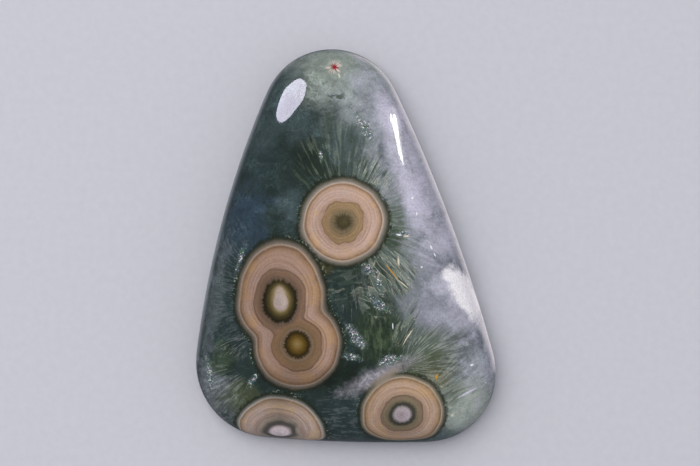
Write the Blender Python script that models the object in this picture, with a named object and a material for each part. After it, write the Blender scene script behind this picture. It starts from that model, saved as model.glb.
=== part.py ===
"""An ocean jasper cabochon: one polished stone, domed in front and flat behind, lying on its flat back.

The stone's tip points along +Y and its dome along +Z. The origin is on the back, below the middle of
the stone's bounding box. Sizes are in millimetres, and stone_mesh() turns the points into metres.
"""

import math

import bpy
from mathutils import Vector

MM = 0.001

# The outline is a rounded triangle. Each corner is a circle: its middle's X and Y, and its radius.
TIP = (-1.5, 13.5, 7.5)
LEFT_FOOT = (-8.0, -12.6, 8.0)
RIGHT_FOOT = (8.7, -13.7, 7.4)

# A long, nearly straight arc joins each corner to the next. These are the arcs' radii.
LEFT_SIDE_RADIUS = 101.0
FOOT_SIDE_RADIUS = 164.0
RIGHT_SIDE_RADIUS = 172.0

# The section, from the flat back up: a rounded back edge, an upright girdle, a steep shoulder, and a face
# that is only gently domed. A higher power makes the shoulder narrower.
BACK_EDGE_RADIUS = 0.6
GIRDLE_HEIGHT = 1.3
SHOULDER_RISE = 5.0
SHOULDER_POWER = 10
FACE_RISE = 2.5

# The dome's highest point, and the half axes of the ellipse that its rings turn into up there.
CREST = (-0.4, -2.6)
CREST_HALF_AXES = (13.8, 20.0)

# How finely the curved faces are cut.
POINTS_AROUND = 112
EASING_REACH = 1
RINGS_IN_DOME = 32
RINGS_IN_BACK_EDGE = 4

STONE_COLOUR = (0.16, 0.20, 0.17, 1.0)
STONE_ROUGHNESS = 0.06


def clear_scene():
    """Removes whatever the scene holds."""
    for thing in list(bpy.data.objects):
        bpy.data.objects.remove(thing)


def side_middle(start, end, radius):
    """The middle of the long arc that touches two corner circles from outside, both inside it."""
    first, second = Vector(start[:2]), Vector(end[:2])
    across = second - first
    reach_first, reach_second = radius - start[2], radius - end[2]
    along = (reach_first**2 - reach_second**2 + across.length_squared) / (2 * across.length)
    inward = Vector((-across.y, across.x)).normalized()
    return first + across.normalized() * along + inward * math.sqrt(reach_first**2 - along**2)


def arc(middle, radius, start, end, steps):
    """Points along an arc from the direction of start to that of end, anticlockwise, without the last."""
    first = math.atan2(start.y, start.x)
    sweep = (math.atan2(end.y, end.x) - first) % math.tau
    angles = [first + sweep * step / steps for step in range(steps)]
    return [middle + radius * Vector((math.cos(angle), math.sin(angle))) for angle in angles]


def arcs_of_outline(steps=200):
    """The outline as six touching arcs, anticlockwise from the tip's right end."""
    corners = (TIP, LEFT_FOOT, RIGHT_FOOT)
    radii = (LEFT_SIDE_RADIUS, FOOT_SIDE_RADIUS, RIGHT_SIDE_RADIUS)
    middles = [side_middle(corners[i], corners[(i + 1) % 3], radii[i]) for i in range(3)]
    outline = []
    for i, (x, y, radius) in enumerate(corners):
        corner = Vector((x, y))
        following = Vector(corners[(i + 1) % 3][:2])
        before, after = middles[i - 1], middles[i]
        outline += arc(corner, radius, corner - before, corner - after, steps)
        outline += arc(after, radii[i], corner - after, following - after, steps)
    return outline


def evenly_spaced(loop, count):
    """count points at equal distances along a closed loop."""
    lengths = [(loop[(i + 1) % len(loop)] - point).length for i, point in enumerate(loop)]
    spacing = sum(lengths) / count
    spaced, walked, i = [], 0.0, 0
    for step in range(count):
        while walked + lengths[i] < step * spacing:
            walked += lengths[i]
            i += 1
        share = (step * spacing - walked) / lengths[i]
        spaced.append(loop[i].lerp(loop[(i + 1) % len(loop)], share))
    return spaced


def eased(loop, reach):
    """The loop with each point moved to the mean of its neighbours, so that curvature changes gently."""
    count = 2 * reach + 1
    return [
        sum((loop[(i + step) % len(loop)] for step in range(-reach, reach + 1)), Vector((0, 0))) / count
        for i in range(len(loop))
    ]


def outline():
    """The stone's outline, with the middle of its bounding box at the origin."""
    loop = eased(evenly_spaced(arcs_of_outline(), POINTS_AROUND), EASING_REACH)
    lowest = Vector((min(p.x for p in loop), min(p.y for p in loop)))
    highest = Vector((max(p.x for p in loop), max(p.y for p in loop)))
    return [p - (lowest + highest) / 2 for p in loop]


def inward_normals(loop):
    """The unit normal at each point of an anticlockwise loop, pointing into it."""
    normals = []
    for i in range(len(loop)):
        tangent = loop[(i + 1) % len(loop)] - loop[i - 1]
        normals.append(Vector((-tangent.y, tangent.x)).normalized())
    return normals


def back_edge_rings(loop):
    """The quarter round between the flat back and the girdle, and the girdle's upper line."""
    normals = inward_normals(loop)
    rings = []
    for step in range(RINGS_IN_BACK_EDGE + 1):
        turn = math.pi / 2 * step / RINGS_IN_BACK_EDGE
        inset = BACK_EDGE_RADIUS * (1 - math.sin(turn))
        height = BACK_EDGE_RADIUS * (1 - math.cos(turn))
        rings.append([(*(p + normal * inset), height) for p, normal in zip(loop, normals)])
    rings.append([(*p, GIRDLE_HEIGHT) for p in loop])
    return rings


def dome_height(share):
    """The dome's height above the back, at a share of the way from the crest out to the edge."""
    shoulder = SHOULDER_RISE * math.sqrt(1 - share**SHOULDER_POWER)
    face = FACE_RISE * (1 - share**2)
    return GIRDLE_HEIGHT + shoulder + face


def dome_ring(loop, share):
    """One ring of the dome: the outline at share 1, and more and more an ellipse towards the crest."""
    crest = Vector(CREST)
    height = dome_height(share)
    likeness = share * share * (3 - 2 * share)
    ring = []
    for p in loop:
        arm = p - crest
        way = arm.normalized()
        ellipse = way / math.hypot(way.x / CREST_HALF_AXES[0], way.y / CREST_HALF_AXES[1])
        ring.append((*(crest + share * ellipse.lerp(arm, likeness)), height))
    return ring


def dome_rings(loop):
    """The dome's rings, closer together on the shoulder, from just above the girdle to near the crest."""
    turns = [math.pi / 2 * step / RINGS_IN_DOME for step in range(1, RINGS_IN_DOME)]
    return [dome_ring(loop, math.cos(turn)) for turn in turns]


def stone_mesh():
    """The closed skin of the stone: a flat back, walls of quads from ring to ring, and a fan at the crest."""
    loop = outline()
    rings = back_edge_rings(loop) + dome_rings(loop)
    count = len(loop)
    points = [Vector(point) * MM for ring in rings for point in ring]
    points.append(Vector((*CREST, dome_height(0))) * MM)
    faces = [tuple(reversed(range(count)))]
    for ring in range(len(rings) - 1):
        low, high = ring * count, (ring + 1) * count
        for i in range(count):
            j = (i + 1) % count
            faces.append((low + i, low + j, high + j, high + i))
    top = (len(rings) - 1) * count
    faces += [(top + i, top + (i + 1) % count, len(points) - 1) for i in range(count)]
    mesh = bpy.data.meshes.new("cabochon")
    mesh.from_pydata(points, [], faces)
    mesh.shade_smooth()
    flat_back = mesh.polygons[0]
    flat_back.use_smooth = False
    return mesh


def polished_jasper():
    """The stone's material: grey-green chalcedony with a high polish."""
    material = bpy.data.materials.new("polished jasper")
    material.use_nodes = True
    surface = material.node_tree.nodes["Principled BSDF"]
    surface.inputs["Base Color"].default_value = STONE_COLOUR
    surface.inputs["Roughness"].default_value = STONE_ROUGHNESS
    surface.inputs["Metallic"].default_value = 0.0
    return material


def build():
    clear_scene()
    stone = bpy.data.objects.new("cabochon", stone_mesh())
    stone.data.materials.append(polished_jasper())
    bpy.context.scene.collection.objects.link(stone)


build()
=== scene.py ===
"""The looks of an ocean jasper cabochon that lies on its flat back on a pale floor.

The stone's pattern is worked out through its whole thickness, from positions in millimetres, so its sides
and its back show the same orbs and clouds cut through elsewhere. X is to the right and Y towards the tip,
as seen from the front, and Z is the height above the back.
"""

import math
from dataclasses import dataclass

import bpy
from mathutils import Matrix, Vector, noise as random_field


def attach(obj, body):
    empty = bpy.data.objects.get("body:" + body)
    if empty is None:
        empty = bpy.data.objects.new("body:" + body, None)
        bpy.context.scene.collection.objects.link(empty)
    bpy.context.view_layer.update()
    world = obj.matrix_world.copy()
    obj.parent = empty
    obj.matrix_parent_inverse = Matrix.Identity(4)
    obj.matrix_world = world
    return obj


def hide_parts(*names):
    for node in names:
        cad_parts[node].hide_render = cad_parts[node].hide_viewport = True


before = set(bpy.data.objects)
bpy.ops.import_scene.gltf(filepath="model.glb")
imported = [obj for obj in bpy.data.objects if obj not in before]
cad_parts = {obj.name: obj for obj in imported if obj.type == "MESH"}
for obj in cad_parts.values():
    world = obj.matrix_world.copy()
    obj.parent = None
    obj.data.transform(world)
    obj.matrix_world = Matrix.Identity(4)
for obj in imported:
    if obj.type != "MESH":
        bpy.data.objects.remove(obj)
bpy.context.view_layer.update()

MM = 0.001

# The outline is a rounded triangle. Each corner is a circle: its middle's X and Y, and its radius.
TIP = (-1.5, 13.5, 7.5)
LEFT_FOOT = (-8.0, -12.6, 8.0)
RIGHT_FOOT = (8.7, -13.7, 7.4)

# A long, nearly straight arc joins each corner to the next. These are the arcs' radii.
LEFT_SIDE_RADIUS = 101.0
FOOT_SIDE_RADIUS = 164.0
RIGHT_SIDE_RADIUS = 172.0

# The section, from the flat back up: a rounded back edge, an upright girdle, a steep shoulder, and a face
# that is only gently domed.
BACK_EDGE_RADIUS = 0.6
GIRDLE_HEIGHT = 1.3
SHOULDER_RISE = 5.0
SHOULDER_POWER = 10
FACE_RISE = 2.5

# The dome's highest point, and the half axes of the ellipse that its rings turn into up there.
CREST = (-0.4, -2.6)
CREST_HALF_AXES = (13.8, 20.0)

# How finely the stone's skin is cut, and how far its hand-ground surface strays from the true form.
POINTS_AROUND = 336
EASING_REACH = 3
RINGS_IN_DOME = 112
RINGS_IN_GIRDLE = 4
RINGS_IN_BACK_EDGE = 8
RINGS_IN_BACK = 24
WAVINESS = 0.02
WAVE_LENGTH = 5.0

# The camera looks almost straight down on the stone. One pixel of the picture is PIXEL mm at the stone, and
# PIXEL_SLOPE is how far its line of sight goes sideways for each step ahead.
CAMERA_ELEVATION = 88.0
CAMERA_LENS = 150.0
SENSOR_WIDTH = 36.0
FRAME_WIDTH = 700
FRAME_HEIGHT = 466
PIXEL = 0.1066
PIXEL_SLOPE = SENSOR_WIDTH / CAMERA_LENS / FRAME_WIDTH
AIM = (0.43, 1.28, 3.0)
CLIP_START = 0.01


def srgb(red, green, blue):
    """A colour given as the 0 to 255 values of a screen, turned into the linear values that shaders use."""
    channels = (value / 255 for value in (red, green, blue))
    return tuple(c / 12.92 if c < 0.04045 else ((c + 0.055) / 1.055) ** 2.4 for c in channels) + (1.0,)


def tones(*rows):
    """Stops for a colour ramp. Each row is a place and the 0 to 255 values of its colour."""
    return [(place, srgb(*values)) for place, *values in rows]


# The stone's form


def side_middle(start, end, radius):
    """The middle of the long arc that touches two corner circles from outside, both inside it."""
    first, second = Vector(start[:2]), Vector(end[:2])
    across = second - first
    reach_first, reach_second = radius - start[2], radius - end[2]
    along = (reach_first**2 - reach_second**2 + across.length_squared) / (2 * across.length)
    inward = Vector((-across.y, across.x)).normalized()
    return first + across.normalized() * along + inward * math.sqrt(reach_first**2 - along**2)


def arc(middle, radius, start, end, steps):
    """Points along an arc from the direction of start to that of end, anticlockwise, without the last."""
    first = math.atan2(start.y, start.x)
    sweep = (math.atan2(end.y, end.x) - first) % math.tau
    angles = [first + sweep * step / steps for step in range(steps)]
    return [middle + radius * Vector((math.cos(angle), math.sin(angle))) for angle in angles]


def arcs_of_outline(steps=200):
    """The outline as six touching arcs, anticlockwise from the tip's right end."""
    corners = (TIP, LEFT_FOOT, RIGHT_FOOT)
    radii = (LEFT_SIDE_RADIUS, FOOT_SIDE_RADIUS, RIGHT_SIDE_RADIUS)
    middles = [side_middle(corners[i], corners[(i + 1) % 3], radii[i]) for i in range(3)]
    outline = []
    for i, (x, y, radius) in enumerate(corners):
        corner = Vector((x, y))
        following = Vector(corners[(i + 1) % 3][:2])
        before, after = middles[i - 1], middles[i]
        outline += arc(corner, radius, corner - before, corner - after, steps)
        outline += arc(after, radii[i], corner - after, following - after, steps)
    return outline


def evenly_spaced(loop, count):
    """count points at equal distances along a closed loop."""
    lengths = [(loop[(i + 1) % len(loop)] - point).length for i, point in enumerate(loop)]
    spacing = sum(lengths) / count
    spaced, walked, i = [], 0.0, 0
    for step in range(count):
        while walked + lengths[i] < step * spacing:
            walked += lengths[i]
            i += 1
        share = (step * spacing - walked) / lengths[i]
        spaced.append(loop[i].lerp(loop[(i + 1) % len(loop)], share))
    return spaced


def eased(loop, reach):
    """The loop with each point moved to the mean of its neighbours, so that curvature changes gently."""
    count = 2 * reach + 1
    return [
        sum((loop[(i + step) % len(loop)] for step in range(-reach, reach + 1)), Vector((0, 0))) / count
        for i in range(len(loop))
    ]


def outline():
    """The stone's outline, with the middle of its bounding box at the origin."""
    loop = eased(evenly_spaced(arcs_of_outline(), POINTS_AROUND), EASING_REACH)
    lowest = Vector((min(p.x for p in loop), min(p.y for p in loop)))
    highest = Vector((max(p.x for p in loop), max(p.y for p in loop)))
    return [p - (lowest + highest) / 2 for p in loop]


def inward_normals(loop):
    """The unit normal at each point of an anticlockwise loop, pointing into it."""
    normals = []
    for i in range(len(loop)):
        tangent = loop[(i + 1) % len(loop)] - loop[i - 1]
        normals.append(Vector((-tangent.y, tangent.x)).normalized())
    return normals


def back_rings(rim):
    """Rings on the flat back, from near its middle out to its rim, where the rounded back edge begins."""
    shares = [step / RINGS_IN_BACK for step in range(1, RINGS_IN_BACK)]
    return [[p * share for p in rim] for share in shares]


def edge_rings(loop):
    """The quarter round between the flat back and the girdle, and the girdle itself."""
    normals = inward_normals(loop)
    rings = []
    for step in range(RINGS_IN_BACK_EDGE + 1):
        turn = math.pi / 2 * step / RINGS_IN_BACK_EDGE
        inset = BACK_EDGE_RADIUS * (1 - math.sin(turn))
        height = BACK_EDGE_RADIUS * (1 - math.cos(turn))
        rings.append([Vector((*(p + normal * inset), height)) for p, normal in zip(loop, normals)])
    for step in range(1, RINGS_IN_GIRDLE + 1):
        height = BACK_EDGE_RADIUS + (GIRDLE_HEIGHT - BACK_EDGE_RADIUS) * step / RINGS_IN_GIRDLE
        rings.append([Vector((*p, height)) for p in loop])
    return rings


def dome_height(share):
    """The dome's height above the back, at a share of the way from the crest out to the edge."""
    shoulder = SHOULDER_RISE * math.sqrt(1 - share**SHOULDER_POWER)
    face = FACE_RISE * (1 - share**2)
    return GIRDLE_HEIGHT + shoulder + face


def dome_ring(loop, share):
    """One ring of the dome: the outline at share 1, and more and more an ellipse towards the crest."""
    crest = Vector(CREST)
    height = dome_height(share)
    likeness = share * share * (3 - 2 * share)
    ring = []
    for p in loop:
        arm = p - crest
        way = arm.normalized()
        ellipse = way / math.hypot(way.x / CREST_HALF_AXES[0], way.y / CREST_HALF_AXES[1])
        ring.append(Vector((*(crest + share * ellipse.lerp(arm, likeness)), height)))
    return ring


def dome_rings(loop):
    """The dome's rings, closer together on the shoulder, from just above the girdle to near the crest."""
    turns = [math.pi / 2 * step / RINGS_IN_DOME for step in range(1, RINGS_IN_DOME)]
    return [dome_ring(loop, math.cos(turn)) for turn in turns]


def ground_by_hand(point):
    """A point of the dome, lowered by up to the waviness that hand grinding leaves under the polish."""
    share = min(1.0, max(0.0, (point.z - GIRDLE_HEIGHT) / SHOULDER_RISE))
    wave = 0.5 + 0.5 * random_field.noise(point / WAVE_LENGTH)
    return point - Vector((0, 0, WAVINESS * 2 * wave * share))


def stone_mesh():
    """The closed skin of the stone, as rings from the middle of the back round the edge to the crest."""
    loop = outline()
    edge = edge_rings(loop)
    rings = back_rings(edge[0]) + edge + dome_rings(loop)
    count = len(loop)
    points = [ground_by_hand(point) * MM for ring in rings for point in ring]
    back_middle, crest = len(points), len(points) + 1
    points.append(Vector((0, 0, 0)))
    points.append(ground_by_hand(Vector((*CREST, dome_height(0)))) * MM)
    faces = [(back_middle, (i + 1) % count, i) for i in range(count)]
    for ring in range(len(rings) - 1):
        low, high = ring * count, (ring + 1) * count
        for i in range(count):
            j = (i + 1) % count
            faces.append((low + i, low + j, high + j, high + i))
    top = (len(rings) - 1) * count
    faces += [(top + i, top + (i + 1) % count, crest) for i in range(count)]
    mesh = bpy.data.meshes.new("polished_stone")
    mesh.from_pydata(points, [], faces)
    mesh.shade_smooth()
    return mesh


# Shader nodes with arithmetic


class Field:
    """A value, position or colour that varies through the stone: the output of a shader node."""

    def __init__(self, socket):
        self.socket = socket

    def __add__(self, other):
        return maths("ADD", self, other)

    def __sub__(self, other):
        return maths("SUBTRACT", self, other)

    def __rsub__(self, other):
        return maths("SUBTRACT", other, self)

    def __mul__(self, other):
        return maths("MULTIPLY", self, other)

    def __truediv__(self, other):
        return maths("DIVIDE", self, other)

    __radd__ = __add__
    __rmul__ = __mul__


def shader_node(tree, kind, inputs, **settings):
    """Adds a node. Inputs are Fields or plain values, by the socket's name or number."""
    node = tree.nodes.new(kind)
    for name, value in settings.items():
        setattr(node, name, value)
    for key, value in inputs.items():
        if isinstance(value, Field):
            tree.links.new(value.socket, node.inputs[key])
        else:
            node.inputs[key].default_value = value
    return node


def tree_of(*values):
    """The node tree that the first Field among these values belongs to."""
    return next(value.socket.id_data for value in values if isinstance(value, Field))


def result_of(kind, inputs, output=0, **settings):
    """The output, by name or number, of a new node in the tree that its inputs belong to."""
    node = shader_node(tree_of(*inputs.values()), kind, inputs, **settings)
    return Field(node.outputs[output])


def maths(operation, *values):
    """The result of a Math node."""
    return result_of("ShaderNodeMath", dict(enumerate(values)), operation=operation)


def vector_maths(operation, *values):
    """The result of a Vector Math node, which is a vector or, for a length or a product, a value."""
    output = "Value" if operation in ("LENGTH", "DOT_PRODUCT") else "Vector"
    return result_of("ShaderNodeVectorMath", dict(enumerate(values)), output, operation=operation)


def scaled(vector, factor):
    """A position, direction or colour times a number."""
    return result_of("ShaderNodeVectorMath", {0: vector, "Scale": factor}, operation="SCALE")


def moved(position, step):
    """A position moved by a vector."""
    return vector_maths("ADD", position, step)


def linear(value, factor, start):
    """The value times the factor, plus the start."""
    return maths("MULTIPLY_ADD", value, factor, start)


def rise(value, low, high, top=1.0):
    """0 up to low and top from high, with a smooth climb between. It falls where low is above high."""
    inputs = {"Value": value, "From Min": low, "From Max": high, "To Max": top}
    return result_of("ShaderNodeMapRange", inputs, interpolation_type="SMOOTHSTEP", clamp=False)


def band(value, middle, half_width, top=1.0):
    """The top where the value is at the middle, falling smoothly to 0 at half_width to either side."""
    return rise(maths("ABSOLUTE", value - middle), half_width, 0.0, top)


def clouds(position, size, detail=2.0, roughness=0.5, distortion=0.0):
    """Smooth noise from 0 to 1 with blotches of about this size, in mm."""
    inputs = {
        "Vector": position,
        "Scale": 1 / size,
        "Detail": detail,
        "Roughness": roughness,
        "Distortion": distortion,
    }
    return result_of("ShaderNodeTexNoise", inputs)


def drifted(position, size, reach, detail=1.0):
    """A position pushed about by noise, by up to about half of reach, so that straight things wander."""
    inputs = {"Vector": position, "Scale": 1 / size, "Detail": detail}
    noise = result_of("ShaderNodeTexNoise", inputs, "Color")
    drift = vector_maths("SUBTRACT", noise, (0.5, 0.5, 0.5))
    return moved(position, scaled(drift, reach))


def ramp(value, stops):
    """A colour that runs through the stops, each a place from 0 to 1 and a colour, as the value grows."""
    node = shader_node(tree_of(value), "ShaderNodeValToRGB", {0: value})
    elements = node.color_ramp.elements
    while len(elements) < len(stops):
        elements.new(0.5)
    for element, (place, colour) in zip(elements, stops):
        element.position = place
        element.color = colour
    return Field(node.outputs[0])


def mixed(share, first, second, clamp=True):
    """The first colour where the share is 0, and the second colour where it is 1."""
    inputs = {0: share, 6: first, 7: second}
    return result_of("ShaderNodeMix", inputs, 2, data_type="RGBA", clamp_factor=clamp)


BLACK = (0.0, 0.0, 0.0, 1.0)


def dimmed(colour, loss):
    """The colour times 1 - loss, so that it turns brighter where the loss is below 0."""
    return mixed(loss, colour, BLACK, clamp=False)


def parts_of(vector):
    """The three numbers that a colour or a direction holds."""
    node = shader_node(tree_of(vector), "ShaderNodeSeparateXYZ", {0: vector})
    return [Field(part) for part in node.outputs]


def along_x(value):
    """The position on the X axis that is this far along it."""
    return result_of("ShaderNodeCombineXYZ", {0: value})


def new_material(name):
    """A material, its node tree and its surface shader."""
    material = bpy.data.materials.new(name)
    material.use_nodes = True
    return material, material.node_tree, material.node_tree.nodes["Principled BSDF"]


def position_in_mm(tree):
    """Positions in the coordinates of the object that has the material."""
    coordinates = shader_node(tree, "ShaderNodeTexCoord", {}).outputs["Object"]
    return scaled(Field(coordinates), 1 / MM)


def own_frame(position, middle, turn, size):
    """Positions from a middle, along axes that are turned by some degrees, in units of the size."""
    inputs = {"Vector": position, "Location": middle, "Rotation": (0, 0, math.radians(turn)), "Scale": size}
    return result_of("ShaderNodeMapping", inputs, vector_type="TEXTURE")


def crystals(position, size, output="Color", **settings):
    """Small crystals of about this size: each one's random colour, or the distance from its middle."""
    return result_of("ShaderNodeTexVoronoi", {"Vector": position, "Scale": 1 / size}, output, **settings)


# The stone's pattern. Places are in mm on the stone, and colours as they look in soft daylight.

FOREST = srgb(42, 54, 45)
PINE = srgb(32, 41, 34)
FERN = srgb(54, 68, 48)
TEAL = srgb(46, 59, 61)
SLATE = srgb(54, 69, 83)
MARSH = srgb(72, 86, 88)
MOSS = srgb(84, 98, 74)
OLIVE = srgb(70, 66, 40)
BRACKEN = srgb(76, 82, 58)
STRAW = srgb(118, 114, 90)
SAGE = srgb(155, 163, 156)
LICHEN = srgb(124, 136, 120)
MIST = srgb(162, 166, 173)
HAZE = srgb(130, 134, 142)
SMOKE = srgb(98, 106, 110)
PEARL = srgb(186, 182, 197)
PALE = srgb(212, 208, 224)
CELADON = srgb(198, 206, 194)
MILK = srgb(255, 250, 251)
GOLD = srgb(196, 146, 40)
CREAM = srgb(222, 214, 188)
WHITE = srgb(246, 246, 250)
SHADOW = srgb(30, 36, 25)
FRINGE = srgb(172, 182, 160)
GOLDEN_TAN = srgb(204, 166, 118)
ROSY_GREY = srgb(186, 166, 158)

# The height of middles that are given without one, how far clouds reach up and down from there and how far
# small marks do, and how far out, in radii, a torn blob can have scraps.
FACE = 7.5
DEEP = 12.0
ON_FACE = 2.5
SCRAPS = 3.0


def offset_from(position, middle, flatness=1.0):
    """The step from a place to the position. A flatness below 1 makes less of its height."""
    offset = vector_maths("SUBTRACT", position, (*middle, FACE)[:3])
    return offset if flatness == 1 else vector_maths("MULTIPLY", offset, (1.0, 1.0, flatness))


def patch(position, middle, radii, turn=0.0, softness=0.25, rag=None, reach=1.0, deep=DEEP, share=1.0):
    """A blob: the share inside an ellipsoid and 0 outside. turn is its first axis's angle from X.

    rag is a noise around 0 that tears the blob's edge by reach.
    """
    size = [SCRAPS * radius for radius in (*radii, deep)]
    inputs = {"Vector": own_frame(position, (*middle, FACE)[:3], turn, size)}
    depth = result_of("ShaderNodeTexGradient", inputs, 1, gradient_type="SPHERICAL")
    if rag is not None:
        depth = linear(rag, reach / SCRAPS, depth)
    edge = SCRAPS - 1
    return rise(depth, (edge - softness) / SCRAPS, (edge + softness) / SCRAPS, share)


THREAD_THICKNESS = 0.03


def threads(position, size):
    """Thin curved threads that run through the stone: 1 on a thread and 0 beside it."""
    field = clouds(position, size, detail=4.0, roughness=0.6, distortion=0.1)
    return band(field, 0.5, THREAD_THICKNESS)


# The stone turns paler across its slant, from the dark left to the misty right. Places are in mm.
SLANT = (0.95, 0.31, 0.0)
SLANT_START = -2.0
SLANT_LENGTH = 14.0
SLANT_COLOURS = tones(
    (-2.0, 42, 54, 50), (1.2, 50, 60, 51), (3.0, 80, 91, 86),
    (4.6, 118, 127, 124), (6.0, 144, 149, 153), (8.0, 162, 162, 173),
    (11.0, 172, 170, 182),
)

# Clouds over that, in the order in which they lie over each other. Each is a colour, how much of it
# shows, its middle and half axes in mm, its turn in degrees, and how torn it is.
ZONES = (
    (SLATE, 0.8, (-10.6, 2.4), (2.1, 4.0), -18, 2.2),
    (TEAL, 0.6, (-9.4, 8.2), (2.0, 2.6), -20, 2.2),
    (MARSH, 0.6, (-4.4, 12.6), (2.4, 2.2), 20, 2.4),
    (MARSH, 0.7, (-6.0, 3.8), (1.6, 2.2), 0, 2.4),
    (MARSH, 0.4, (-8.6, 12.4), (1.6, 3.4), -26, 2.0),
    (TEAL, 0.6, (-11.9, -7.0), (2.2, 7.0), -4, 1.4),
    (SMOKE, 0.5, (-13.9, -5.6), (1.1, 6.0), -8, 2.4),
    (SAGE, 1.0, (0.8, 18.4), (5.8, 3.8), 0, 1.2),
    (LICHEN, 0.4, (-0.8, 19.0), (3.8, 1.7), 14, 2.2),
    (MARSH, 0.6, (-6.6, 16.6), (1.2, 2.8), -38, 1.4),
    (MIST, 0.8, (3.6, 16.4), (3.2, 2.8), -50, 1.6),
    (MIST, 0.35, (0.9, 14.2), (2.8, 1.2), -25, 2.2),
    # Partly the stone's milky cloud and partly a painted glow round the tall window's reflection.
    (PEARL, 0.8, (5.2, 13.6), (2.6, 1.5), -58, 1.6),
    (MARSH, 0.55, (0.4, 10.2), (3.2, 2.4), 0, 1.8),
    (PINE, 0.6, (-3.9, 9.6), (1.3, 2.0), 15, 1.6),
    (MIST, 0.7, (3.2, 11.4), (1.2, 3.2), 8, 2.4),
    (MOSS, 0.7, (5.2, 2.8), (1.0, 2.6), 4, 2.4),
    (FERN, 0.8, (4.6, 0.4), (0.9, 1.4), 20, 2.4),
    (PEARL, 0.9, (6.9, 6.4), (1.3, 3.2), 12, 2.0),
    (SMOKE, 0.8, (3.8, 10.6), (0.45, 1.5), -6, 1.6),
    (SMOKE, 0.5, (10.4, -1.4), (1.5, 1.0), -20, 2.0),
    (HAZE, 0.6, (7.6, -4.9), (2.6, 3.0), 0, 1.6),
    (SMOKE, 0.8, (12.8, -10.4), (1.8, 1.3), 0, 2.0),
    (HAZE, 0.8, (9.4, -7.4), (2.6, 1.8), 0, 2.2),
    (FERN, 0.9, (3.6, -9.6), (2.4, 3.2), 0, 1.2),
    (PINE, 1.0, (-0.4, -13.9), (3.0, 1.9), 10, 1.0),
    (BRACKEN, 0.9, (8.2, -13.4), (3.0, 1.7), 12, 1.6),
    (MOSS, 0.6, (9.2, -10.6), (2.2, 1.6), 30, 2.2),
    (MIST, 0.9, (14.1, -13.8), (1.9, 2.6), 0, 1.6),
    (SAGE, 1.0, (13.0, -17.2), (3.8, 2.6), 0, 1.2),
    (MOSS, 0.6, (10.8, -15.6), (1.6, 1.6), 30, 2.2),
    (STRAW, 0.7, (9.6, -14.0), (1.2, 0.9), -40, 2.2),
    (MARSH, 0.8, (10.6, -20.4), (3.8, 1.0), 8, 1.2),
    (HAZE, 0.6, (-13.6, -15.4), (1.9, 3.4), 10, 2.2),
    (FERN, 0.8, (-12.6, -12.2), (1.2, 1.7), 0, 1.6),
    (BRACKEN, 0.7, (-11.2, -16.6), (2.2, 1.6), 0, 2.0),
    (TEAL, 0.7, (-0.2, -18.2), (2.6, 2.6), 0, 1.4),
    (OLIVE, 0.9, (-2.1, -1.9), (0.9, 1.8), -25, 1.0),
)

# Milky clouds over the needles and splinters, in the same terms as the zones, but with their softness
# before how torn they are. Some are partly painted glow or painted light, as noted by their rows.
MILKY_CLOUDS_AND_PAINTED_GLOW = (
    # The next three are partly the stone's milky clouds and partly a painted glow round the tall window's
    # reflection.
    (PALE, 0.7, (4.7, 13.5), (1.8, 1.0), -60, 0.8, 1.4),
    (PALE, 0.5, (4.5, 10.8), (2.4, 0.5), -80, 0.9, 1.4),
    (PALE, 0.75, (6.5, 5.9), (3.4, 0.9), -72, 0.9, 1.8),
    (PALE, 0.5, (10.1, -0.3), (1.5, 0.9), -20, 0.9, 2.4),
    # Painted light: a faint pale band just inside the right edge.
    (PALE, 0.35, (8.6, 6.4), (7.0, 0.6), -68, 0.9, 1.6),
    (PALE, 0.6, (10.2, -4.5), (1.3, 1.0), 0, 0.9, 2.4),
    (PALE, 0.35, (10.4, -7.4), (2.3, 1.2), -15, 0.9, 2.0),
    (CELADON, 0.35, (13.4, -17.8), (3.0, 1.9), 0, 0.9, 1.6),
    (MILK, 0.5, (14.4, -8.8), (1.8, 0.4), -68, 0.9, 1.6),
    (MILK, 0.9, (11.2, -3.4), (1.2, 0.6), -15, 0.35, 1.4),
    (MILK, 1.0, (12.7, -5.3), (3.0, 1.2), -60, 0.3, 1.4),
    (SMOKE, 0.4, (10.0, -5.8), (0.8, 0.4), 25, 0.9, 2.0),
)

# A band of grainy lavender that rises to the right, and dark tufts of moss below the tip.
LAVENDER = srgb(147, 143, 150)
LAVENDER_BAND = ((3.5, -13.8), (3.2, 0.8), 26)
TUFTS = ((-0.8, 15.2), (0.8, 2.3), 35)

# The same lavender, tinted gold, hides a stretch of the rim of the orb beside it.
GILDED = srgb(152, 138, 122)
GILDED_BAND = ((4.1, -14.0), (1.7, 0.45), 33)

# Painted shade that darkens the lower end of the orb with the gold core: where it lies, and how much it
# darkens.
PAINTED_SHADE_BELOW = ((-5.0, -14.1), (4.4, 1.1))
PAINTED_SHADE_BELOW_LOSS = 0.32

# How large the blotches are of the noises around the orbs: the mottling, the pale side's wisps, the tufts,
# the two sets of threads with the step from one to the other, and the places where threads are dense.
MOTTLE_SIZE = 1.5
WISP_SIZE = 2.2
TUFT_SIZE = 0.8
THREAD_SIZES = (3.0, 1.6)
THREAD_STEP = (9.0, 4.0, 2.0)
DENSITY_SIZE = 2.2


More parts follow.
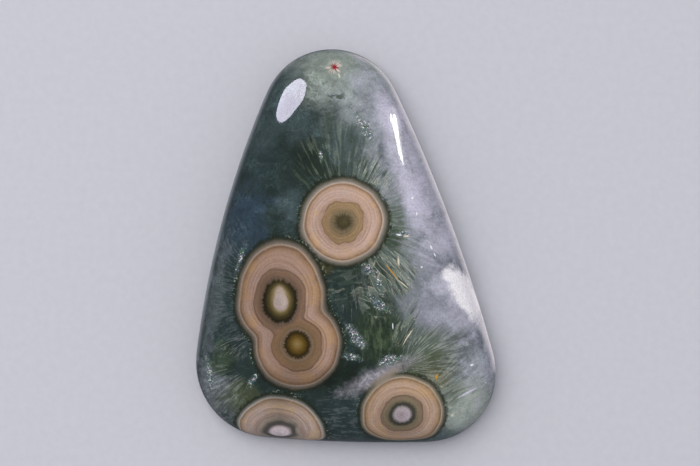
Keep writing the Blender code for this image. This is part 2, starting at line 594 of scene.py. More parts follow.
def matrix_colour(position, wandering, rag):
    """The chalcedony around the orbs: dark greens with moss, mist and milk in it."""
    slant = linear(rag, 5.0, vector_maths("DOT_PRODUCT", wandering, SLANT))
    stops = [((place - SLANT_START) / SLANT_LENGTH, tint) for place, tint in SLANT_COLOURS]
    colour = ramp(linear(slant, 1 / SLANT_LENGTH, -SLANT_START / SLANT_LENGTH), stops)
    for tint, share, middle, radii, turn, torn in ZONES:
        mask = patch(wandering, middle, radii, turn, softness=0.5, rag=rag, reach=torn, share=share)
        colour = mixed(mask, colour, tint)
    mottle = clouds(wandering, MOTTLE_SIZE, detail=8.0, roughness=0.74)
    colour = dimmed(colour, linear(mottle, -1.7, 0.85))

    wisps = clouds(wandering, WISP_SIZE, detail=8.0, roughness=0.72, distortion=0.2)
    colour = mixed(rise(wisps, 0.50, 0.68, rise(slant, 5.0, 8.5, 0.85)), colour, PEARL)
    colour = mixed(rise(wisps, 0.50, 0.34, rise(slant, 4.0, 7.5, 0.85)), colour, SMOKE)
    lavender = patch(position, *LAVENDER_BAND, softness=0.8, rag=rag, reach=2.4, share=0.9)
    colour = mixed(lavender, colour, LAVENDER)

    tuft = clouds(position, TUFT_SIZE, detail=4.0, roughness=0.7)
    tuft_patch = patch(position, *TUFTS, softness=0.4, rag=rag, reach=1.0)
    colour = mixed(rise(tuft, 0.50, 0.60, tuft_patch), colour, SMOKE)
    colour = mixed(rise(tuft, 0.57, 0.66, tuft_patch), colour, MOSS)

    density = rise(clouds(position, DENSITY_SIZE, detail=1.0), 0.42, 0.62, rise(slant, 4.0, 1.0, -0.6))
    coarse = threads(wandering, THREAD_SIZES[0])
    fine = threads(moved(wandering, THREAD_STEP), THREAD_SIZES[1])
    return dimmed(colour, linear(maths("MAXIMUM", coarse, fine), density, 0.04))


# Needles that radiate from one place, seen in a torn patch somewhere beside it. Each row has that place,
# the patch's middle, half axes and turn, how fine and how short the needles are, how much of them shows,
# the colours of the broad dark and pale ones, and how many thin bright ones there are.
SPRAYS = (
    ((-0.3, 2.2), (0.1, 9.2), (3.6, 3.6), 0, 20, 0.26, 0.5, FERN, LICHEN, 0.15),
    ((-0.3, 2.2), (-3.4, 7.6), (1.6, 3.0), 20, 20, 0.26, 0.5, PINE, MOSS, 0.1),
    ((-0.3, 2.2), (3.0, 7.4), (2.0, 1.2), -35, 26, 0.5, 0.8, FERN, LICHEN, 0.9),
    ((-0.3, 2.2), (6.2, 2.0), (1.7, 5.0), 12, 30, 0.25, 0.35, MOSS, MIST, 0.3),
    ((-0.3, 2.2), (9.4, 2.6), (2.8, 7.0), 14, 22, 0.20, 0.3, SMOKE, PEARL, 0.0),
    ((0.6, 2.8), (4.8, -3.0), (2.2, 2.8), 40, 22, 0.3, 0.8, FERN, LICHEN, 0.8),
    ((0.0, 4.0), (2.4, -5.6), (3.0, 3.0), 0, 20, 0.3, 0.5, FOREST, SMOKE, 0.3),
    ((-6.9, -6.1), (-12.2, -4.5), (1.9, 6.0), -4, 30, 0.6, 0.35, FOREST, SMOKE, 0.3),
    ((-8.5, -8.8), (-11.4, -10.8), (1.6, 1.1), 20, 26, 0.4, 0.7, PINE, SMOKE, 0.5),
    ((-8.0, -12.0), (-13.2, -15.6), (2.2, 3.2), 0, 22, 0.4, 0.4, FERN, SAGE, 0.1),
    ((5.6, -13.0), (9.2, -11.4), (3.8, 2.6), 28, 22, 0.34, 0.55, BRACKEN, SAGE, 0.5),
    ((5.6, -13.0), (10.8, -6.4), (3.2, 3.4), 0, 20, 0.15, 0.2, SMOKE, PEARL, 0.0),
    ((5.9, -17.9), (11.6, -15.2), (3.4, 3.2), 0, 26, 0.3, 0.4, MOSS, SAGE, 0.6),
    ((-30.0, -18.0), (-0.2, -18.2), (2.8, 3.0), 0, 80, 1.0, 0.5, TEAL, SMOKE, 0.2),
    ((3.4, 14.0), (3.6, -9.8), (2.0, 2.8), 0, 50, 0.6, 0.6, PINE, MOSS, 0.1),
)


def with_needles(colour, position, rag):
    """The colour with the sprays of needles drawn over it."""
    for origin, middle, radii, turn, fineness, shortness, share, dark, pale, glints in SPRAYS:
        mask = patch(position, middle, radii, turn, softness=0.35, rag=rag, reach=1.5, share=share)
        offset = offset_from(position, origin, 0.35)
        way = vector_maths("NORMALIZE", offset)
        place = vector_maths("MULTIPLY_ADD", way, (fineness,) * 3, scaled(offset, shortness))
        needles = clouds(place, 1.0, detail=3.0, roughness=0.55)
        colour = mixed(rise(needles, 0.53, 0.34, mask), colour, dark)
        colour = mixed(rise(needles, 0.47, 0.70, mask), colour, pale)
        colour = mixed(band(needles, 0.58, 0.02, mask * glints), colour, CREAM)
    return colour


# Glassy splinters: how much of them shows, the middle, half axes and turn of the place they fill, the
# direction that they point in, and their own length, width and depth.
SPLINTERS = (
    (0.35, (-0.1, -4.3), (2.2, 1.5), 0, 12, (1.5, 0.42, 0.8)),
    (1.0, (3.4, -3.6), (1.4, 2.0), -30, -52, (2.2, 0.70, 1.0)),
    (1.0, (5.4, -4.0), (1.5, 2.0), -40, -56, (1.6, 0.22, 0.6)),
    (1.0, (2.8, -6.4), (1.7, 0.9), -30, -24, (1.6, 0.55, 0.8)),
    (1.0, (6.2, -8.6), (0.9, 2.4), -22, 62, (1.6, 0.24, 0.6)),
    (1.0, (10.4, -16.6), (1.8, 1.3), 35, 38, (1.6, 0.30, 0.6)),
)
SPLINTER_TONES = tones(
    (0.15, 50, 64, 55), (0.45, 80, 94, 84), (0.70, 106, 118, 106),
    (0.90, 138, 146, 134),
)


def with_splinters(colour, position, rag):
    """The colour with places full of glassy splinters, some with bright edges."""
    for share, middle, radii, turn, direction, size in SPLINTERS:
        mask = patch(position, middle, radii, turn, softness=0.4, rag=rag, reach=2.0, share=share)
        place = own_frame(position, (0, 0, 0), direction, size)
        tone, presence, _ = parts_of(crystals(place, 1.0))
        colour = mixed(rise(presence, 0.25, 0.45, mask) * 0.75, colour, ramp(tone, SPLINTER_TONES))
        edges = crystals(place, 1.0, "Distance", feature="DISTANCE_TO_EDGE")
        bright = rise(edges, 0.07, 0.0, rise(presence, 0.45, 0.75, mask))
        colour = mixed(bright * 0.5, colour, CREAM)
    return colour


# Clusters of tiny crystals: middle, half axes and turn.
DRUZY = (
    ((1.9, 12.3), (1.8, 0.5), -57),
    ((2.6, -2.9), (0.9, 0.5), -40),
    ((3.5, -4.3), (0.3, 1.3), 12),
    ((3.6, -6.3), (1.6, 0.5), -38),
    ((0.9, -9.5), (1.2, 0.45), -50),
    ((1.5, -10.5), (0.9, 0.45), -25),
    ((0.6, -11.9), (1.0, 0.4), -15),
    ((4.7, -12.1), (1.2, 0.5), 20),
    ((-2.6, 9.1), (0.2, 0.7), 10),
    ((6.1, 1.0), (0.7, 0.2), -10),
    ((-11.1, -1.8), (0.3, 1.5), -15),
    ((-14.4, -13.5), (0.25, 1.6), 10),
    ((-9.8, -14.3), (0.3, 0.8), -35),
)
CRYSTAL_SIZE = 0.12
# The crystals' tones, from dark greys up to a white that is a painted glint.
CRYSTAL_TONES_AND_GLINTS = tones(
    (0.0, 34, 42, 38), (0.35, 62, 72, 68), (0.62, 98, 106, 106),
    (0.82, 144, 150, 156), (0.98, 246, 246, 250),
)


def druzy_mask(position, rag):
    """1 where there are clusters of tiny crystals."""
    mask = None
    for middle, radii, turn in DRUZY:
        cluster = patch(position, middle, radii, turn, softness=0.7, rag=rag, reach=3.0)
        mask = cluster if mask is None else maths("MAXIMUM", mask, cluster)
    return mask


def with_druzy(colour, position, mask):
    """The colour with clusters of tiny grey crystals, the brightest of them painted white as glints of
    light.
    """
    facets = crystals(position, CRYSTAL_SIZE)
    glint, presence, _ = parts_of(facets)
    tone = ramp(glint, CRYSTAL_TONES_AND_GLINTS)
    colour = mixed(mask * 0.25, colour, SMOKE)
    shown = rise(linear(mask, 0.9, presence), 0.9, 1.1, mask)
    return mixed(shown, colour, mixed(0.14, tone, facets))


# How many lobes and teeth there are round a core and arcs round an orb. A higher value makes more of them.
LOBE_FINENESS = 1.7
TOOTH_FINENESS = 8.0
ARC_FINENESS = 1.3


@dataclass
class Orb:
    """One ball of banded jasper: its middle, its radius, and the colours of its core out to its reach.

    It is drawn out by up above its middle and by down below it, and its core by core_up and core_down.
    teeth is where the core has a jagged ring and how jagged it is, and lobes how wavy the core's border is.
    hearts are blobs at the core's middle: a colour, a middle, half axes and a softness.
    """

    middle: tuple
    radius: float
    core: list
    reach: float
    up: float = 1.0
    down: float = 1.0
    core_up: float = 1.0
    core_down: float = 1.0
    teeth: tuple = None
    lobes: float = 0.16
    hearts: tuple = ()

    def squeezed(self, position, up, down):
        """The step from the middle to the position, squeezed back where the orb is drawn out along Y."""
        offset = offset_from(position, self.middle)
        if up == down == 1:
            return offset
        above = vector_maths("MAXIMUM", offset, (0.0, 0.0, 0.0))
        squeezed = vector_maths("MULTIPLY", offset, (1.0, 1 / down, 1.0))
        return vector_maths("MULTIPLY_ADD", above, (0.0, 1 / up - 1 / down, 0.0), squeezed)

    def distance(self, position):
        """0 at the orb's middle and 1 on its rim."""
        return vector_maths("LENGTH", self.squeezed(position, self.up, self.down)) / self.radius

    def core_field(self, position):
        """The core's colour, and how far out this is, with 1 on the core's lobed border."""
        offset = self.squeezed(position, self.core_up, self.core_down)
        distance = vector_maths("LENGTH", offset) / self.radius
        way = vector_maths("NORMALIZE", offset)
        wave = clouds(scaled(way, LOBE_FINENESS), 1.0, detail=1.5) - 0.5
        waved = linear(wave, band(distance, 0.55, 0.4, self.lobes), distance)
        if self.teeth:
            place, jaggedness = self.teeth
            torn = clouds(scaled(way, TOOTH_FINENESS), 1.0, detail=2.0) - 0.5
            waved = linear(torn, band(distance, place, 0.12, jaggedness), waved)
        colour = ramp(waved, self.core)
        for tint, middle, radii, softness in self.hearts:
            colour = mixed(patch(position, middle, radii, softness=softness), colour, tint)
        return colour, waved / self.reach


# Outside their cores all orbs have the same bands, from pink and golden tan out to a pale line, and from
# there out to a grey rim. Places are shares of the way from the middle to the line, or from there out.
BANDS_TO_LINE = tones(
    (0.54, 172, 143, 127), (0.62, 180, 151, 135), (0.68, 192, 163, 147),
    (0.70, 176, 146, 129), (0.72, 194, 165, 149), (0.82, 192, 162, 145),
    (0.89, 182, 152, 130), (0.93, 164, 135, 111), (0.955, 136, 108, 84),
    (0.974, 150, 126, 106), (1.00, 188, 171, 156),
)
BANDS_TO_RIM = tones(
    (0.12, 150, 140, 131), (0.42, 118, 113, 103), (0.74, 88, 86, 73),
    (1.00, 62, 62, 44),
)


def tinted(colour, tint):
    """A colour with its red, green and blue each scaled."""
    return (*(channel * share for channel, share in zip(colour, tint)), 1.0)


# How smoothly orbs that touch, and their cores, run into each other.
ORBS_MERGING = 0.2
CORES_MERGING = 0.35

# How far the bands waver, how many fine lines there are to a radius, and how large the patches of hue are.
RIM_WAVER = 0.06
LINES_TO_RADIUS = 30.0
HUE_SIZE = 2.4


@dataclass
class OrbGroup:
    """Orbs that have grown together, so that they share their outer bands.

    line is where their pale line is, as a share of the way out. Painted light makes the group lighter
    towards the way that brighter gives, and makes its left and right sides lighter than its middle by the
    share that the next field gives.
    """

    orbs: tuple
    line: float
    tint: tuple
    brighter: tuple
    painted_flank_light: float = 0.0

    def bands(self):
        """The outer bands' places and colours, in this group's tint."""
        stops = [(place * self.line, colour) for place, colour in BANDS_TO_LINE]
        stops += [(self.line + place * (1 - self.line), colour) for place, colour in BANDS_TO_RIM]
        return [(place, tinted(colour, self.tint)) for place, colour in stops]

    def cores(self, position):
        """The colour of the nearest core, and how far out this is, with 1 on the cores' shared border."""
        core, border = self.orbs[0].core_field(position)
        for orb in self.orbs[1:]:
            other_core, other_border = orb.core_field(position)
            core = mixed(rise(border - other_border, -0.06, 0.06), core, other_core)
            border = maths("SMOOTH_MIN", border, other_border, CORES_MERGING)
        return core, border

    def over(self, colour, position, fuzz, grain):
        """The colour with this group of orbs laid over it. fuzz and grain are fine noises."""
        distance = self.orbs[0].distance(position)
        for orb in self.orbs[1:]:
            distance = maths("SMOOTH_MIN", distance, orb.distance(position), ORBS_MERGING)
        way = vector_maths("NORMALIZE", offset_from(position, self.orbs[0].middle))
        arcs = clouds(scaled(way, ARC_FINENESS), 1.0)
        distance = linear(arcs, RIM_WAVER, distance - RIM_WAVER / 2)

        # A dark border round the rim, with a pale crust on it in places.
        colour = mixed(rise(linear(fuzz, 0.25, distance), 1.09, 0.99, 0.85), colour, SHADOW)
        crust = rise(grain, 0.55, 0.72, rise(arcs, 0.46, 0.62, 0.7))
        colour = mixed(band(linear(fuzz, 0.2, distance), 1.04, 0.06, crust), colour, FRINGE)

        # The bands, with fine lines along them and with golden and rosy patches.
        rings = moved(scaled(way, 0.9), along_x(distance * LINES_TO_RADIUS))
        lines = clouds(rings, 1.0, detail=2.0) - 0.5
        banded = ramp(linear(lines, 0.04, distance), self.bands())
        hues = clouds(position, HUE_SIZE, detail=3.0, roughness=0.6)
        golden = band(distance, 0.80 * self.line, 0.26, rise(hues, 0.50, 0.62, 0.55))
        banded = mixed(golden, banded, tinted(GOLDEN_TAN, self.tint))
        rosy = band(distance, 0.74 * self.line, 0.24, rise(hues, 0.48, 0.36, 0.4))
        banded = mixed(rosy, banded, tinted(ROSY_GREY, self.tint))

        # The cores, each a little darker along its border.
        core, border = self.cores(position)
        core = dimmed(core, band(border, 0.97, 0.05, 0.25))
        banded = mixed(rise(border, 1.02, 0.98), banded, core)

        # How bright all that is: uneven with the grain and the fine lines, the stone's own tone, and with
        # painted light that makes it lighter to one side and on its left and right sides.
        light = linear(grain, 0.45, linear(lines, 0.80, 0.775))
        light = light * (vector_maths("DOT_PRODUCT", way, self.brighter) + 1.0)
        if self.painted_flank_light:
            sideways, _, _ = parts_of(offset_from(position, self.orbs[0].middle))
            light = light * linear(maths("ABSOLUTE", sideways), self.painted_flank_light / self.orbs[0].radius, 1.0)
        banded = dimmed(banded, 1 - light)
        return mixed(rise(linear(fuzz, 0.12, distance), 1.03, 0.94), colour, banded)


LONE_ORB = Orb(
    (-0.28, 2.24, 8.65),
    4.82,
    tones(
        (0.00, 84, 76, 49), (0.07, 76, 68, 44), (0.13, 72, 63, 42),
        (0.165, 88, 78, 56), (0.21, 114, 100, 76), (0.27, 130, 111, 82),
        (0.33, 150, 124, 92), (0.44, 154, 126, 92),
    ),
    reach=0.462,
    down=0.97,
    teeth=(0.19, 0.22),
    lobes=0.24,
)

CREAM_ORB = Orb(
    (-6.88, -6.09, 8.25),
    4.98,
    tones(
        (0.00, 80, 70, 36), (0.20, 70, 61, 30), (0.26, 50, 43, 20),
        (0.31, 38, 33, 16), (0.335, 36, 31, 16), (0.368, 38, 32, 18),
        (0.385, 74, 60, 46), (0.42, 102, 84, 70), (0.463, 112, 89, 71),
        (0.526, 126, 99, 80), (0.58, 130, 104, 86),
    ),
    reach=0.585,
    up=1.36,
    core_up=1.19,
    core_down=1.12,
    teeth=(0.37, 0.14),
    lobes=0.14,
    hearts=(
        (srgb(98, 85, 46), (-6.88, -5.85, 8.25), (1.20, 1.60), 0.45),
        (srgb(138, 120, 84), (-6.88, -5.80, 8.25), (0.92, 1.36), 0.35),
        (srgb(170, 152, 138), (-6.88, -5.50, 8.25), (0.58, 1.02), 0.35),
        (srgb(174, 156, 148), (-6.88, -6.10, 8.25), (0.76, 0.88), 0.25),
    ),
)

GOLD_ORB = Orb(
    (-5.09, -10.53, 8.2),
    4.85,
    tones(
        (0.00, 136, 114, 72), (0.087, 118, 95, 52), (0.13, 104, 81, 34),
        (0.173, 84, 65, 20), (0.216, 60, 46, 14), (0.262, 44, 36, 16),
        (0.285, 84, 68, 48), (0.31, 114, 96, 78), (0.39, 118, 94, 68),
        (0.50, 130, 102, 78),
    ),
    reach=0.55,
    down=1.03,
    core_up=1.04,
    core_down=1.09,
    teeth=(0.27, 0.13),
    lobes=0.14,
)

LEFT_FOOT_ORB = Orb(
    (-6.95, -19.76, 4.45),
    4.9,
    tones(
        (0.00, 210, 194, 196), (0.18, 205, 189, 190), (0.225, 150, 138, 136),
        (0.265, 80, 76, 70), (0.33, 74, 71, 65), (0.38, 112, 103, 93),
        (0.43, 132, 119, 107), (0.50, 142, 126, 114),
    ),
    reach=0.52,
    lobes=0.30,
)

RIGHT_FOOT_ORB = Orb(
    (5.97, -17.98, 6.6),
    4.62,
    tones(
        (0.00, 150, 128, 132), (0.05, 164, 150, 154), (0.165, 170, 158, 160),
        (0.205, 124, 117, 114), (0.235, 66, 64, 57), (0.285, 64, 62, 52),
        (0.33, 108, 98, 78), (0.37, 124, 110, 88), (0.45, 127, 108, 88),
    ),
    reach=0.49,
    teeth=(0.25, 0.08),
    lobes=0.14,
)

# Orbs deep in the stone, which only the flat back and the girdle cut through.
BACK_CORE = tones(
    (0.00, 150, 132, 110), (0.12, 130, 110, 74), (0.22, 62, 52, 28),
    (0.28, 46, 40, 24), (0.32, 112, 92, 70), (0.50, 140, 114, 90),
)
BACK_ORBS = (
    Orb((3.4, 6.6, 0.2), 4.6, BACK_CORE, reach=0.5, teeth=(0.3, 0.12)),
    Orb((-5.6, -8.2, -0.6), 4.9, BACK_CORE, reach=0.54, teeth=(0.3, 0.12)),
    Orb((-0.6, -12.6, 0.4), 3.9, BACK_CORE, reach=0.5, lobes=0.24),
    Orb((8.6, -9.0, -0.4), 3.6, BACK_CORE, reach=0.5, lobes=0.24),
)

# Each group's orbs, pale line, tint and the way of its painted light. The tints are partly the orbs' own
# colours and partly painted shade that makes the orbs nearer the feet darker.
ORB_GROUPS = (
    OrbGroup((LONE_ORB,), 0.865, (0.98, 0.96, 0.93), (0.07, 0.06, 0.0)),
    OrbGroup((CREAM_ORB, GOLD_ORB), 0.89, (0.66, 0.62, 0.58), (0.10, 0.03, 0.0)),
    OrbGroup((LEFT_FOOT_ORB,), 0.92, (0.56, 0.60, 0.62), (0.06, 0.0, 0.0), painted_flank_light=0.9),
    OrbGroup((RIGHT_FOOT_ORB,), 0.90, (0.83, 0.82, 0.74), (0.06, 0.08, 0.0)),
    OrbGroup(BACK_ORBS, 0.88, (0.72, 0.72, 0.70), (0.12, 0.04, 0.0)),
)

# Small marks that stand alone: a colour, the middle and half axes in mm, and the turn in degrees.
MARKS = (
    (GOLD, (4.80, -3.04), (1.00, 0.07), -50),
    (CREAM, (5.94, -4.25), (0.70, 0.06), -41),
    (CREAM, (5.52, -1.94), (0.11, 0.42), 0),
    (WHITE, (7.88, -2.47), (0.09, 0.09), 0),
    (WHITE, (8.93, -0.26), (0.09, 0.26), 25),
    (WHITE, (9.28, -1.10), (0.07, 0.20), 25),
    (WHITE, (5.57, 0.89), (0.28, 0.08), -8),
    (CREAM, (6.38, 0.71), (0.30, 0.09), 0),
    (WHITE, (6.93, 4.88), (0.10, 0.14), 0),
    (WHITE, (7.46, 3.20), (0.07, 0.18), 10),
    (WHITE, (13.20, -12.70), (0.20, 0.12), 20),
    (WHITE, (14.90, -14.60), (0.15, 0.12), 0),
    (GOLD, (9.52, -13.90), (0.12, 0.28), -20),
    (CREAM, (11.20, -18.00), (0.20, 0.17), 0),
    (CREAM, (6.51, -9.81), (0.95, 0.06), 58),
    (WHITE, (4.94, -8.66), (0.06, 0.30), 0),
    (PALE, (12.99, -15.60), (1.20, 0.14), 28),
    (CREAM, (-0.74, 17.80), (0.10, 0.26), 20),
    (CREAM, (-7.09, -2.47), (0.92, 0.03), 65),
)

# The red star below the tip, and the heights between which it fades out towards the back.
STAR = (-1.28, 18.78)
STAR_RADIUS = 1.0
RAY_FINENESS = 2.9
STAR_FLOOR = (2.0, 4.0)
RED = srgb(150, 38, 44)
PINK = srgb(232, 204, 192)


def with_marks(colour, position):
    """The colour with the small marks that stand alone, and the red star with its pale rays."""
    for tint, middle, radii, turn in MARKS:
        colour = mixed(patch(position, middle, radii, turn, softness=0.45, deep=ON_FACE), colour, tint)
    offset = offset_from(position, STAR, 0.0)
    way = vector_maths("NORMALIZE", offset)
    _, _, height = parts_of(position)
    buried = rise(height, *reversed(STAR_FLOOR))
    reach = vector_maths("LENGTH", offset) / STAR_RADIUS + buried
    ray = clouds(scaled(way, RAY_FINENESS), 1.0, detail=1.0)
    colour = mixed(band(ray, 0.5, 0.08, rise(reach, 1.0, 0.5)), colour, PINK)
    return mixed(rise(linear(ray, -1.1, reach), -0.20, -0.34), colour, RED)


# How the pattern is pushed about: the size of the noise that pushes it, and how far it pushes.
WANDERING = (4.0, 3.0)
GENTLE = (3.5, 0.45)
TORN = (1.2, 0.8)

# How large the blotches are that tear the clouds' edges, roughen the orbs' rims and grain the whole stone.
RAG_SIZE = 1.6
FUZZ_SIZE = 0.45
GRAIN_SIZE = 0.2

# The polish, how rough the tiny crystals leave it, how high they are, and how much the stone bends light.
POLISH_ROUGHNESS = 0.03
POLISH_VARIATION = 0.02
DRUZY_ROUGHNESS = 0.16
CRYSTAL_HEIGHT = 0.012
REFRACTIVE_INDEX = 1.54


def stone_material():
    """Polished jasper."""
    material, tree, surface = new_material("polished_ocean_jasper")
    position = position_in_mm(tree)
    wandering = drifted(position, *WANDERING, detail=3.0)
    gentle = drifted(position, *GENTLE)
    rag = clouds(drifted(position, *TORN), RAG_SIZE, detail=5.0, roughness=0.68) - 0.5
    fuzz = clouds(position, FUZZ_SIZE, detail=3.0, roughness=0.7) - 0.5
    grain = clouds(position, GRAIN_SIZE, detail=2.0)

    colour = matrix_colour(gentle, wandering, rag)
    colour = with_needles(colour, gentle, rag)
    colour = with_splinters(colour, gentle, rag)
    # Milky clouds, some partly painted glow round the tall window's reflection or painted light by the
    # right edge.
    for tint, share, middle, radii, turn, softness, torn in MILKY_CLOUDS_AND_PAINTED_GLOW:
        mask = patch(gentle, middle, radii, turn, softness=softness, rag=rag, reach=torn, share=share)
        colour = mixed(mask, colour, tint)
    druzy = druzy_mask(gentle, rag)
    colour = with_druzy(colour, gentle, druzy)
    colour = with_marks(colour, gentle)
    colour = dimmed(colour, linear(grain, -0.7, 0.35))
    for group in ORB_GROUPS:
        colour = group.over(colour, gentle, fuzz, grain)
    gilded = patch(gentle, *GILDED_BAND, softness=0.8, rag=rag, reach=1.2, share=0.8)
    colour = mixed(gilded, colour, GILDED)
    # Painted shade on the lower end of the orb with the gold core.
    colour = dimmed(colour, patch(gentle, *PAINTED_SHADE_BELOW, softness=0.9, share=PAINTED_SHADE_BELOW_LOSS))
    tree.links.new(colour.socket, surface.inputs["Base Color"])

    roughness = POLISH_ROUGHNESS + POLISH_VARIATION * grain + DRUZY_ROUGHNESS * druzy
    tree.links.new(roughness.socket, surface.inputs["Roughness"])
    inputs = {
        "Strength": linear(druzy, 0.9, 0.02),
        "Distance": CRYSTAL_HEIGHT * MM,
        "Height": crystals(gentle, CRYSTAL_SIZE, "Distance"),
    }
    relief = shader_node(tree, "ShaderNodeBump", inputs)
    tree.links.new(relief.outputs[0], surface.inputs["Normal"])
    surface.inputs["IOR"].default_value = REFRACTIVE_INDEX
    return material


# The floor: how far it reaches to each side, in m, its grain in mm, its two greys and how matte it is.
FLOOR_REACH = 1.5
FLOOR_GRAIN = 0.8
FLOOR_GREYS = (srgb(196, 195, 201), srgb(206, 205, 211))
FLOOR_ROUGHNESS = 0.8


def floor_material():
    """A pale matte studio floor with a faint grain."""
    material, tree, surface = new_material("pale_floor")
    grain = clouds(position_in_mm(tree), FLOOR_GRAIN, detail=4.0)
    tree.links.new(mixed(grain, *FLOOR_GREYS).socket, surface.inputs["Base Color"])
    surface.inputs["Roughness"].default_value = FLOOR_ROUGHNESS
    return material


# The studio


def add_object(name, data):
    """A new object in the scene."""
    thing = bpy.data.objects.new(name, data)
    bpy.context.scene.collection.objects.link(thing)
    return thing


def add_camera():
    """The camera, above the stone and facing down on it with the tip at the top of the picture."""
    data = bpy.data.cameras.new("camera")
    data.lens = CAMERA_LENS
    data.sensor_width = SENSOR_WIDTH
    data.clip_start = CLIP_START
    camera = add_object("camera", data)
    lean = math.radians(CAMERA_ELEVATION)
    backward = Vector((0, -math.cos(lean), math.sin(lean)))
    camera.location = (Vector(AIM) + backward * PIXEL / PIXEL_SLOPE) * MM
    camera.rotation_euler = backward.to_track_quat("Z", "Y").to_euler()
    bpy.context.scene.camera = camera
    return camera


# The overhead light: the way to it from the stone, its distance and its sides in m, and its power in W.
OVERHEAD_WAY = (-0.3, 0.3, 1.0)
OVERHEAD_DISTANCE = 0.7
OVERHEAD_SIDE = 0.5
OVERHEAD_POWER = 2.6


def add_overhead():
    """A square soft light that faces the stone. The polish doesn't mirror it."""
    data = bpy.data.lights.new("overhead", "AREA")
    data.size = OVERHEAD_SIDE
    data.energy = OVERHEAD_POWER
    light = add_object("overhead", data)
    way = Vector(OVERHEAD_WAY).normalized()
    light.location = way * OVERHEAD_DISTANCE
    light.rotation_euler = way.to_track_quat("Z", "Y").to_euler()
    light.visible_glossy = False


# Bright windows that the polish mirrors. Each is given by its outline on the picture, in pixels.
OVAL_GLINT = (
    (300.0, 77.2), (306.7, 82.8), (305.6, 92.0), (302.8, 100.6), (293.9, 111.7), (287.5, 119.5),
    (281.0, 123.4), (276.7, 119.4), (276.1, 111.7), (281.7, 93.9), (288.3, 85.0),
)
LONG_GLINT = (
    (389.4, 114.5), (392.4, 113.0), (395.4, 114.6), (397.0, 122.0), (398.6, 133.0), (400.4, 146.0),
    (402.6, 158.0), (403.0, 163.0), (401.0, 161.0), (398.0, 149.0), (394.6, 134.0), (391.0, 122.0),
)
FAINT_GLOW = (
    (385.5, 113.0), (388.5, 107.0), (393.0, 105.5), (397.0, 111.0), (400.0, 121.0),
    (403.6, 142.0), (405.4, 168.0), (401.5, 170.0), (394.0, 148.0), (388.5, 128.0),
)

# Each window's name, outline, colour and brightness, and its distance from the stone in m. The card for the
# faint glow around the long glint is behind that glint's own.
WINDOWS = (
    ("oval_window", OVAL_GLINT, (0.86, 0.82, 1.0), 15.0, 0.5),
    ("tall_window", LONG_GLINT, (1.0, 0.97, 1.0), 30.0, 0.5),
    ("window_glow", FAINT_GLOW, (1.0, 0.97, 1.0), 2.0, 0.54),
)

# The size in mm of the blotches on a window, and how much of its light is left where it is dimmest.
WINDOW_BLOTCH = 20.0
WINDOW_DIMMEST = (0.8, 0.8, 0.8)

# The steps in pixels over which a window's place is averaged, so that the stone's facets don't fray it.
PIXEL_STEPS = (-0.8, 0.0, 0.8)


def rounded(loop):
    """The loop with its corners cut off, so that it has twice as many points."""
    cut = []
    for i, point in enumerate(loop):
        following = loop[(i + 1) % len(loop)]
        cut += [point.lerp(following, 0.25), point.lerp(following, 0.75)]
    return cut


def mirrored_place(stone, camera, pixel, distance):
    """The place, at this distance, that the polish mirrors at a pixel of the picture."""
    turn = camera.rotation_euler.to_matrix()
    points, ways = Vector(), Vector()
    for right in PIXEL_STEPS:
        for down in PIXEL_STEPS:
            across = (pixel[0] + right - FRAME_WIDTH / 2) * PIXEL_SLOPE
            below = (pixel[1] + down - FRAME_HEIGHT / 2) * PIXEL_SLOPE
            ray = (turn @ Vector((across, -below, -1))).normalized()
            _, point, normal, _ = stone.ray_cast(camera.location, ray)
            points += point
            ways += ray.reflect(normal)
    return points / len(PIXEL_STEPS) ** 2 + ways.normalized() * distance


def window_material(name, colour, strength):
    """A glow with faint blotches."""
    material, tree, surface = new_material(name)
    stops = ((0.3, tinted(colour, WINDOW_DIMMEST)), (0.7, (*colour, 1.0)))
    uneven = ramp(clouds(position_in_mm(tree), WINDOW_BLOTCH, detail=4.0), stops)
    glow = shader_node(tree, "ShaderNodeEmission", {"Color": uneven, "Strength": strength})
    tree.links.new(glow.outputs[0], tree.nodes["Material Output"].inputs["Surface"])
    tree.nodes.remove(surface)
    return material


def add_window(stone, camera, name, outline, colour, strength, distance):
    """A bright card that shows only as its reflection in the polish, with the given outline there."""
    loop = rounded(rounded([Vector(pixel) for pixel in outline]))
    places = [mirrored_place(stone, camera, pixel, distance) for pixel in loop]
    middle = sum(places, Vector()) / len(places)
    mesh = bpy.data.meshes.new(name)
    count = len(places)
    mesh.from_pydata([*places, middle], [], [(i, (i + 1) % count, count) for i in range(count)])
    window = add_object(name, mesh)
    mesh.materials.append(window_material(name, colour, strength))
    window.visible_camera = False
    window.visible_diffuse = False
    window.visible_shadow = False


# The light from all around, and the room that the polish mirrors, with a bright strip to either side.
AMBIENT = (0.54, 0.55, 0.59, 1.0)
MIRRORED_ROOM = (0.09, 0.10, 0.12, 1.0)
MIRRORED_LEFT = (0.36, 0.38, 0.44, 1.0)
MIRRORED_RIGHT = (0.96, 0.90, 0.94, 1.0)

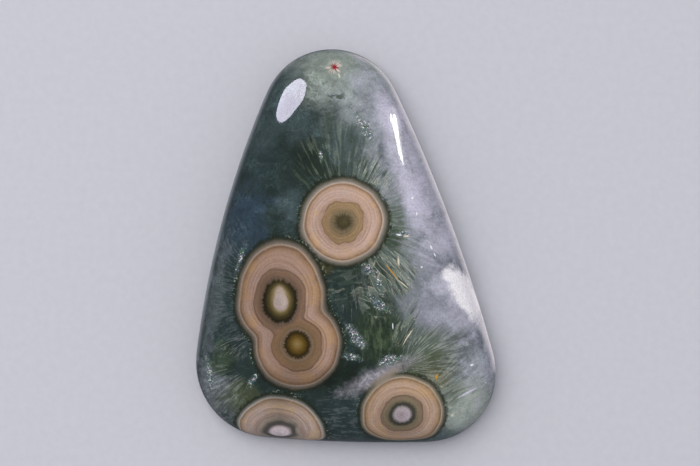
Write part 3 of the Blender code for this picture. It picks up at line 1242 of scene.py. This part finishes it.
# Where the strips begin and where they are at their brightest, as parts of a direction's length: how far
# down each is, how far out to its side, and how far towards the tip's end of the room.
LEFT_STRIP_DOWN = (-0.70, -0.92)
RIGHT_STRIP_DOWN = (-0.55, -0.88)
STRIP_OUT = (0.04, 0.24)
STRIP_TIPWARD = (-0.06, 0.06)


def studio_world():
    """Even light from all around. The polish mirrors a dim room, with brighter strips low at its sides."""
    world = bpy.data.worlds.new("studio")
    world.use_nodes = True
    tree = world.node_tree
    direction = Field(shader_node(tree, "ShaderNodeTexCoord", {}).outputs["Generated"])
    right, tipward, height = parts_of(direction)
    beside = rise(tipward, *STRIP_TIPWARD)
    left_strip = rise(height, *LEFT_STRIP_DOWN, rise(right * -1.0, *STRIP_OUT, beside))
    right_strip = rise(height, *RIGHT_STRIP_DOWN, rise(right, *STRIP_OUT, beside))
    room = mixed(left_strip, MIRRORED_ROOM, MIRRORED_LEFT)
    room = mixed(right_strip, room, MIRRORED_RIGHT)
    mirrored = Field(shader_node(tree, "ShaderNodeLightPath", {}).outputs["Is Glossy Ray"])
    light = mixed(mirrored, AMBIENT, room)
    tree.links.new(light.socket, tree.nodes["Background"].inputs["Color"])
    return world


def add_stone():
    """The stone, which is all that the part is made of."""
    stone = add_object("polished_stone", stone_mesh())
    stone.data.materials.append(stone_material())
    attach(stone, "root")
    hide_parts("cabochon")
    return stone


def add_floor():
    """A wide floor under the stone. The polish doesn't mirror it."""
    mesh = bpy.data.meshes.new("floor")
    reach = FLOOR_REACH
    corners = [(-reach, -reach, 0), (reach, -reach, 0), (reach, reach, 0), (-reach, reach, 0)]
    mesh.from_pydata(corners, [], [(0, 1, 2, 3)])
    mesh.materials.append(floor_material())
    floor = add_object("floor", mesh)
    floor.visible_glossy = False


def build():
    stone = add_stone()
    add_floor()
    camera = add_camera()
    bpy.context.view_layer.update()
    for window in WINDOWS:
        add_window(stone, camera, *window)
    add_overhead()
    bpy.context.scene.world = studio_world()
    bpy.context.scene.view_settings.view_transform = "Standard"


build()
